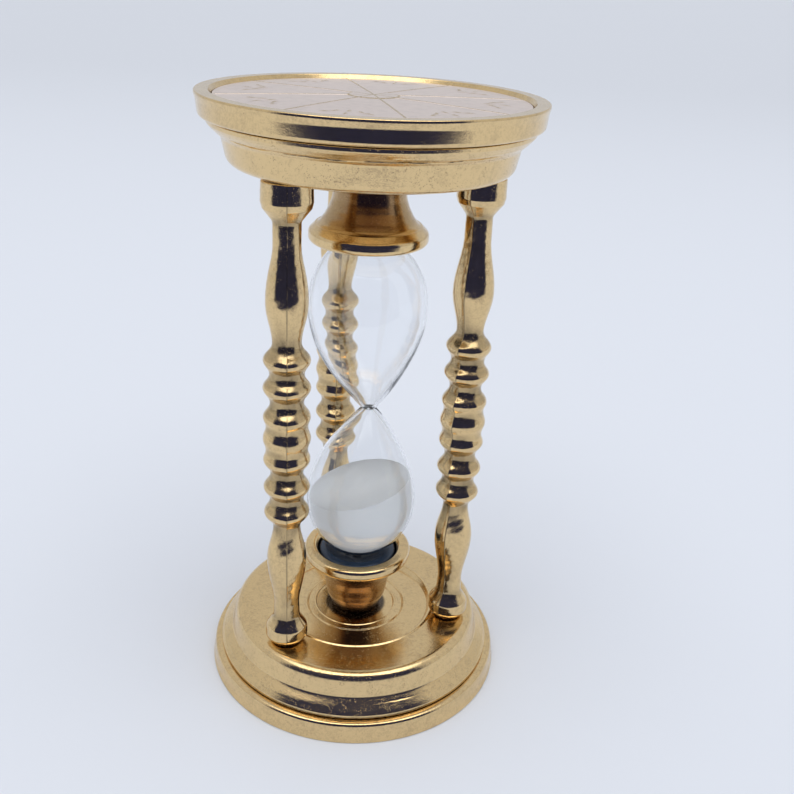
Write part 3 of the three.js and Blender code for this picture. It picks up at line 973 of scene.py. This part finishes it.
    def sprigs(self, azimuth: Array, radius: Array) -> Array:
        """Small leaf sprigs between the spokes.

        Each leaf is a smooth bump on an ellipse: one less the squares of its two distances from the
        leaf's middle, along the leaf and across it.

        Args:
            azimuth: azimuths in radians.
            radius: radii in mm.

        Returns:
            Height of the sprigs as a share of the relief.
        """
        x, y = radius * np.cos(azimuth), radius * np.sin(azimuth)
        total = np.zeros_like(radius)
        sprig_radius, half_length, half_width = 25.5, 1.7, 0.62
        leaves = [(0.0, 0.0, 90), (-2.6, 0.7, 55), (2.6, 0.7, 125), (-4.6, 2.2, 35), (4.6, 2.2, 145),
                  (0.0, 3.4, 90)]
        for sector in range(8):
            turn = math.radians(self.spoke_turn + 22.5 + 45 * sector)
            out = np.array([math.cos(turn), math.sin(turn)])
            beside = np.array([-math.sin(turn), math.cos(turn)])
            for aside, outward, lean in leaves:
                middle = (sprig_radius + outward) * out + aside * beside
                angle = turn + math.radians(lean - 90)
                along = (x - middle[0]) * math.cos(angle) + (y - middle[1]) * math.sin(angle)
                across = (y - middle[1]) * math.cos(angle) - (x - middle[0]) * math.sin(angle)
                total = np.maximum(total, 1 - (along / half_length) ** 2 - (across / half_width) ** 2)
        return 0.95 * np.sqrt(np.clip(total, 0, 1))


class PillarPlace(Enum):
    """The three pillars, each with the azimuth in degrees of its casting seam."""

    BACK = 272.0
    FRONT_LEFT = 275.0
    FRONT_RIGHT = 239.0

    @property
    def node(self) -> str:
        """Name of the pillar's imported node."""
        return f"pillar_{self.name.lower()}"


@dataclass
class Pillar:
    """A cast pillar: five beads in the middle, a vase at each side and a foot at each end.

    Attributes:
        place: which pillar this is.
        foot_seat: height of its lower end in mm.
        head_seat: height of its upper end.
        middle: height of the middle bead.
        beads: distance from the middle bead and radius of each crest and cove on one side of it.
        beaded: how far the beads reach from the middle one.
        segments: points in each ring.
        crowding: how strongly the points crowd towards the seams.
        seam_width: angle in radians over which the seam's ridge falls off.
    """

    place: PillarPlace
    foot_seat: float
    head_seat: float
    middle: float = 73.9
    beads: tuple[tuple[float, float], ...] = (
        (0, 5.6), (3.1, 4.95), (5.5, 5.55), (9.2, 3.95), (12.9, 5.5), (16.2, 4.05), (19.7, 5.45),
        (24.0, 3.3), (33.4, 4.85), (46.2, 3.15))
    beaded: float = 24.0
    segments: int = 128
    crowding: float = 0.42
    seam_width: float = 0.34

    @property
    def seam(self) -> float:
        """Azimuth of the casting seam in radians."""
        return math.radians(self.place.value)

    def outline(self) -> Array:
        """Outline from the lower end to the upper one: round foot, beads and vases, and drum head.

        Returns:
            Array of (radius, height) points in mm.
        """
        upper = [(self.middle + offset, radius) for offset, radius in self.beads]
        lower = [(self.middle - offset, radius) for offset, radius in self.beads[1:]]
        shaft = waved_outline([*reversed(lower), *upper], 0.3)
        low, high = self.foot_seat, self.head_seat
        foot = turned_outline(
            (0, low), (3.9, low, 0.6), (5.35, low + 1.9, 1.8), (5.2, low + 4.8, 2.2),
            (3.35, low + 7.6, 2.4), tuple(shaft[0]),
            step=0.5,
        )
        head = turned_outline(
            tuple(shaft[-1]), (3.1, high - 8.8, 1.6), (5.35, high - 5.9, 0.5),
            (5.68, high - 4.6, 1.2), (5.6, high, 0.5), (0, high),
            step=0.5,
        )
        return np.concatenate((foot[:-1], shaft, head[1:]))

    def build(self) -> Piece:
        """Builds and dresses the pillar: its outline is turned about its axis and swells at the seams.

        Returns:
            The piece.
        """
        outline = self.outline()
        even = ring_angles(self.segments)
        azimuths = self.seam + even - self.crowding * np.sin(2 * even)
        skin = turned_skin(outline, azimuths, swell=self.ridge)
        x, y = node_axis(self.place.node)
        # painted shade in the coves, on the beads' upper sides and along the seam
        tones = {"hollow": self.hollow(outline, azimuths, skin)}
        placed = Skin(skin.rings + np.array([x, y, 0]), tones=tones)
        # its brown shade colour paints that shade
        brass = Brass(f"cast_brass_{self.place.name.lower()}", film=0.45, gloss=0.06, dull=0.15,
                      specks=0.6, grain=0.018, pits=0.03, speck_size=0.45, painted_shade_colour=(0.27, 0.205, 0.12))
        piece = placed.piece(f"{self.place.node}_surface")
        return dress(piece, brass.material((x, y), hollows=True), "cast_brass", self.place.node)

    def hollow(self, outline: Array, azimuths: Array, skin: Skin) -> Array:
        """Painted shade for each point: the coves, the beads' upper sides and a line along the seam get
        painted shade and a duller surface.

        A cove is where the radius is less than its running mean along the outline.

        Args:
            outline: the pillar's (radius, height) points in mm.
            azimuths: azimuths of a ring's points in radians.
            skin: the pillar's skin about its own axis.

        Returns:
            Values of 0 to 1.
        """
        radius = np.hypot(skin.rings[..., 0], skin.rings[..., 1])
        mean = np.convolve(outline[:, 0], np.ones(25) / 25, mode="same")
        slope = np.gradient(outline[:, 0]) / np.maximum(np.gradient(outline[:, 1]), 0.02)
        # painted dark reflection on the beads' upper sides, painted shade in the coves
        upper_side_shade = smooth_step(-slope, 0.3, 0.9) * (np.abs(outline[:, 1] - self.middle) < 28)
        total = np.maximum(smooth_step(mean[:, None] - radius, 0.05, 0.7), 0.75 * upper_side_shade[:, None])
        total = total * (0.7 + 0.3 * soft_waves(3 * azimuths[None], outline[:, 1:], 5, 7))
        across = np.abs(np.sin(azimuths - self.seam))[None] * radius
        # painted shade along the seam
        seam_shade = smooth_step(slope, -0.9, -0.2)[:, None] * np.exp(-(across / 0.16) ** 2)
        return np.clip(np.maximum(total, seam_shade), 0, 1)

    def ridge(self, azimuth: Array, radius: Array, height: Array) -> Array:
        """Height of the casting seams above the turned outline, plus unevenness of the casting.

        Each seam is a ridge that falls off evenly on both sides, proudest on the beads' crests, with a
        narrow bell curve on top. Between the seams the pillar is fuller by a small squared cosine.

        Args:
            azimuth: azimuths in radians.
            radius: radii in mm.
            height: heights in mm.

        Returns:
            Swell in mm.
        """
        beaded = np.abs(height - self.middle) < self.beaded
        proud = 0.1 + 0.5 * smooth_step(radius, 4.2, 5.4) * beaded
        total = np.zeros_like(radius)
        for turn in (0, math.pi):
            away = np.abs((azimuth - self.seam - turn + math.pi) % (2 * math.pi) - math.pi)
            flat = 0.16 * np.cos(away) ** 2
            crest = 0.05 * np.exp(-(away * radius / 0.13) ** 2)
            total = total - flat + proud * np.exp(-away / self.seam_width) + crest
        seed = int(self.place.value)
        slow = soft_waves(2 * azimuth, 2.2 * height, seed, 6)
        quick = soft_waves(5 * azimuth, 9.0 * height, seed + 1, 4)
        return total + 0.05 * slow + 0.02 * quick


@dataclass
class Vial:
    """The blown vial and its sand. Heights are from the floor, in mm.

    Attributes:
        neck: height of the neck.
        neck_radius: its outer radius; neck_bore is its inner one.
        upper: the upper bulb's radius, the height where it is widest and the height of its end.
        lower: the same for the lower bulb.
        wall: thickness of the bulbs' wall.
        tube_radius: outer radius of the fill tube; tube_bore is its inner one.
        tube_end: height of the tube's lower end.
        segments: points in each ring.
        sand_level: height of the sand's surface on the axis.
        sand_slope: how much it rises towards +X.
        sand_radius: about how far its edge is from the axis.
    """

    neck: float = 73.9
    neck_radius: float = 1.8
    neck_bore: float = 0.45
    upper: tuple[float, float, float] = (14.5, 100.9, 118.1)
    lower: tuple[float, float, float] = (14.1, 47.4, 31.9)
    wall: float = 0.45
    tube_radius: float = 2.6
    tube_bore: float = 1.3
    tube_end: float = 27.2
    segments: int = 128
    sand_level: float = 51.9
    sand_slope: float = 0.25
    sand_radius: float = 13.4

    def meridian(self, bulb: tuple[float, float, float], throat: float, wall: float) -> Array:
        """Half outline of a bulb from the neck to its round end.

        The shoulder is a sine of the distance from the neck, and the end is half an ellipse.

        Args:
            bulb: its radius, the height where it is widest and the height of its end.
            throat: radius at the neck.
            wall: how far inside the bulb's outer face this outline lies.

        Returns:
            Array of (radius, height) points.
        """
        widest, middle, end = bulb
        side = math.copysign(1.0, middle - self.neck)
        radius, depth = widest - wall, abs(end - middle) - wall
        share = np.linspace(0, 1, 60, endpoint=False)[:, None]
        shoulder = np.hstack((
            throat + (radius - throat) * np.sin(math.pi / 2 * share ** 0.95),
            self.neck + side * abs(middle - self.neck) * share,
        ))
        angle = np.linspace(0, math.pi / 2, 48)[:, None]
        cap = np.hstack((radius * np.cos(angle), middle + side * depth * np.sin(angle)))
        return np.concatenate((shoulder, cap))

    def lean(self, rings: Array) -> Array:
        """Moves the neck a little towards +X: the shift is a bell curve of the distance from the neck.

        Args:
            rings: places in mm.

        Returns:
            The moved places.
        """
        height = rings[..., 2]
        shift = 0.45 + 1.1 * np.exp(-((height - self.neck) / 9) ** 2)
        shift = shift * window(height, 27.0, 42.0, 108.0, 118.0)
        return rings + shift[..., None] * np.array([1.0, 0.0, 0.0])

    def glass(self) -> Skin:
        """Outer wall from the top down, the fill tube, and the inner wall back up to the top."""
        upper_out = self.meridian(self.upper, self.neck_radius, 0)
        lower_out = self.meridian(self.lower, self.neck_radius, 0)
        upper_in = self.meridian(self.upper, self.neck_bore, self.wall)
        lower_in = self.meridian(self.lower, self.neck_bore, self.wall)
        outside = lower_out[lower_out[:, 0] > self.tube_radius + 0.2]
        inside = lower_in[lower_in[:, 0] > self.tube_bore + 0.1]
        tube = turned_outline(
            tuple(outside[-1]), (self.tube_radius, self.lower[2] - 0.2, 0.4),
            (self.tube_radius, self.tube_end, 0.3), (self.tube_bore, self.tube_end, 0.3),
            (self.tube_bore, self.lower[2] + self.wall + 0.1, 0.2), tuple(inside[-1]),
            step=0.6,
        )
        outline = np.concatenate((upper_out[::-1], outside[1:], tube[1:-1], inside[:0:-1], upper_in))
        skin = turned_skin(outline, self.segments)
        return Skin(self.lean(skin.rings))

    def sand(self) -> Skin:
        """Sand: the lower bulb's inner wall up to a leaning, gently hollowed surface.

        The rings climb the wall from the bottom, each stopped at the sand's surface, and the last rings
        cross the surface to its middle.

        Returns:
            The sand's skin.
        """
        wall = self.meridian(self.lower, self.neck_bore, self.wall + 0.12)[::-1]
        wall = wall[wall[:, 1] < self.sand_level + 6]
        azimuth = ring_angles(self.segments)[None]
        radius = np.broadcast_to(wall[:, :1], (len(wall), self.segments))
        height = np.broadcast_to(wall[:, 1:], radius.shape)
        edge = self.surface_level(self.sand_radius * np.cos(azimuth), self.sand_radius * np.sin(azimuth))
        floor = wall[0, 1]
        share = (height - floor) / (wall[-1, 1] - floor)
        level = floor + share * (edge - floor)
        span = np.interp(level, wall[:, 1], wall[:, 0])
        side = np.stack((span * np.cos(azimuth), span * np.sin(azimuth), level), -1)
        inward = np.linspace(0.985, 0, 40)[:, None]
        x, y = inward * side[-1, :, 0], inward * side[-1, :, 1]
        top = np.stack((x, y, self.surface_level(x, y)), -1)
        return Skin(self.lean(np.concatenate((side, top))))

    def surface_level(self, x: Array, y: Array) -> Array:
        """Height of the sand's surface: a plane that rises towards +X, with faint ripples."""
        ripples = 0.05 * np.sin(1.1 * x + 0.6 * y) + 0.04 * np.sin(0.7 * y - 1.6 * x + 1.0)
        return self.sand_level + self.sand_slope * x + ripples

    def build(self) -> list[Piece]:
        """Builds and dresses the glass and the sand.

        Returns:
            The two pieces.
        """
        glass = self.glass().piece("glass_vial_surface", crease=60)
        sand = self.sand().piece("sand_surface", crease=50)
        return [
            dress(glass, Glass().material(), "clear_glass", "glass_vial"),
            dress(sand, Sand().material(), "white_sand", "sand"),
        ]


class Fixings:
    """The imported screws, washers and stopper, which keep their shape and get a finish."""

    def build(self) -> None:
        """Dresses every packed fixing."""
        steel = Steel().material()
        stopper = Rubber("stopper_rubber", (0.24, 0.15, 0.085), 0.7).material()
        for name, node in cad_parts.items():
            if "screw_" in name or "washer_" in name:
                finish = steel
            elif name == "fill_stopper":
                finish = stopper
            else:
                continue
            node.data.materials.clear()
            node.data.materials.append(finish)
            log.info("%s: kept, in %s", name, finish.name)


# ---- studio ----

@dataclass
class Studio:
    """Pale sweep, soft even light, a dark card in front and the camera. Lengths are in metres.

    Attributes:
        camera_place: where the camera stands.
        pitch: how far the camera looks down, in radians.
        pan: how far it is turned towards +X.
        roll: how far it is tipped about its own axis.
        lens: focal length in mm on a 36 mm sensor.
        horizon: tone of the surround at the horizon; zenith is its tone overhead.
        softbox: tone of the overhead light.
        softbox_side: sideways lean where the light ends and where it is full; the next two say the same
            of its front and back edges.
        floor_tone: tone of the floor; painted shade makes it fade towards the back, to the next
            attribute times that tone.
        card_tone: tone of the dark card, whose weave is up to card_weave times paler.
    """

    camera_place: tuple[float, float, float] = (0.0, -0.21946, 0.17619)
    pitch: float = 0.4247
    pan: float = 0.0392
    roll: float = 0.0525
    lens: float = 43.457
    horizon: Colour = (0.60, 0.625, 0.67)
    zenith: Colour = (0.66, 0.67, 0.70)
    softbox: Colour = (2.5, 2.48, 2.42)
    softbox_side: tuple[float, float] = (0.8, 0.5)
    softbox_front: tuple[float, float] = (-1.0, -0.75)
    softbox_back: tuple[float, float] = (0.25, -0.02)
    floor_tone: Colour = (0.70, 0.735, 0.81)
    floor_painted_falloff: float = 0.86
    card_tone: Colour = (0.027, 0.032, 0.095)
    card_weave: float = 1.8

    def build(self) -> None:
        """Builds the studio."""
        self.camera()
        self.floor()
        self.dark_card()
        self.lights()

    def camera(self) -> None:
        """Camera whose matrix columns are its right, its up and the reverse of its line of sight."""
        ahead = np.array([
            math.sin(self.pan) * math.cos(self.pitch),
            math.cos(self.pan) * math.cos(self.pitch),
            -math.sin(self.pitch),
        ])
        level = np.cross(ahead, [0, 0, 1])
        level = level / np.linalg.norm(level)
        upright = np.cross(level, ahead)
        right = math.cos(self.roll) * level + math.sin(self.roll) * upright
        up = -math.sin(self.roll) * level + math.cos(self.roll) * upright
        matrix = np.eye(4)
        matrix[:3, :3] = np.column_stack((right, up, -ahead))
        matrix[:3, 3] = self.camera_place
        data = bpy.data.cameras.new("camera")
        data.lens = self.lens
        data.sensor_width = 36
        data.clip_start = 0.005
        camera = bpy.data.objects.new("camera", data)
        camera.matrix_world = Matrix(matrix.tolist())
        bpy.context.scene.collection.objects.link(camera)
        bpy.context.scene.camera = camera
        bpy.context.scene.view_settings.view_transform = "Standard"

    def sheet(self, name: str, corners: Array) -> Piece:
        """A flat four-cornered sheet.

        Args:
            name: its name.
            corners: its corners in order, in metres.

        Returns:
            The sheet, marked as staging.
        """
        mesh = bpy.data.meshes.new(name)
        mesh.from_pydata(corners.tolist(), [], [[0, 1, 2, 3]])
        sheet = bpy.data.objects.new(name, mesh)
        bpy.context.scene.collection.objects.link(sheet)
        sheet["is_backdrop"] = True
        return sheet

    def floor(self) -> None:
        """Wide pale floor, darker towards the back with painted shade."""
        reach = 60.0
        corners = reach * np.array([(-1, -1, 0), (1, -1, 0), (1, 1, 0), (-1, 1, 0)])
        floor = self.sheet("floor", corners)
        graph = FinishGraph("floor_paper")
        away = graph.add("ShaderNodeSeparateXYZ", {0: graph.place}).outputs[1]
        # painted shade: the floor darkens towards the back
        far_painted_shade_tone = tuple(part * self.floor_painted_falloff for part in self.floor_tone)
        graph.plug("Base Color", graph.blend(graph.span(away, 0.1, 1.6), self.floor_tone, far_painted_shade_tone))
        graph.plug("Roughness", 0.55)
        graph.plug("Specular IOR Level", 0.25)
        floor.data.materials.append(graph.material)

    def dark_card(self) -> None:
        """Dark card behind the camera that only shows as a reflection in polished metal and glass."""
        half, distance, low, high = 0.46, -0.265, 0.0, 0.48
        corners = np.array([(-half, distance, low), (half, distance, low), (half, distance, high),
                            (-half, distance, high)])
        card = self.sheet("dark_card", corners)
        graph = FinishGraph("card_cloth")
        mottle = graph.noise(graph.place, 12.0, 4.0)
        paler = tuple(part * self.card_weave for part in self.card_tone)
        graph.plug("Base Color", graph.blend(mottle, self.card_tone, paler))
        graph.plug("Roughness", 1.0)
        graph.plug("Specular IOR Level", 0.0)
        card.data.materials.append(graph.material)
        for ray in ("camera", "diffuse", "transmission", "shadow"):
            setattr(card, f"visible_{ray}", False)

    def lights(self) -> None:
        """Even surround with one broad soft light overhead, a little in front of the object.

        The light fills a soft-edged rectangle of the sky, measured by how far a direction leans to the
        side and to the back for each unit that it rises.
        """
        world = bpy.data.worlds.new("surround")
        world.use_nodes = True
        graph = NodeGraph(world.node_tree)
        direction = graph.add("ShaderNodeTexCoord", {}).outputs["Generated"]
        x, y, z = graph.add("ShaderNodeSeparateXYZ", {0: direction}).outputs
        rise = graph.math("MAXIMUM", z, 0.02)
        aside = graph.math("ABSOLUTE", graph.math("DIVIDE", x, rise))
        aside = graph.span(aside, *self.softbox_side)
        back = graph.math("DIVIDE", y, rise)
        box = graph.math("MULTIPLY", graph.span(back, *self.softbox_front),
                         graph.span(back, *self.softbox_back))
        surround = graph.blend(graph.math("MAXIMUM", z, 0.0), self.horizon, self.zenith)
        lit = graph.blend(graph.math("MULTIPLY", aside, box), surround, self.softbox)
        graph.links.new(lit, graph.nodes["Background"].inputs["Color"])
        bpy.context.scene.world = world


# ---- the whole object ----

def main() -> None:
    """Builds the studio and every sub-assembly."""
    logging.basicConfig(level=logging.INFO, format="%(name)s: %(message)s")
    packed = bounds_as_lists()
    Studio().build()
    height = packed[1][2] / MM
    for end in End:
        EndAssembly(end, height, cap_radius=packed[1][0] / MM).build()
    for place in PillarPlace:
        low, high = node_box(place.node)
        Pillar(place, float(low[2]), float(high[2])).build()
    Vial().build()
    Fixings().build()


if __name__ == "__main__":
    main()
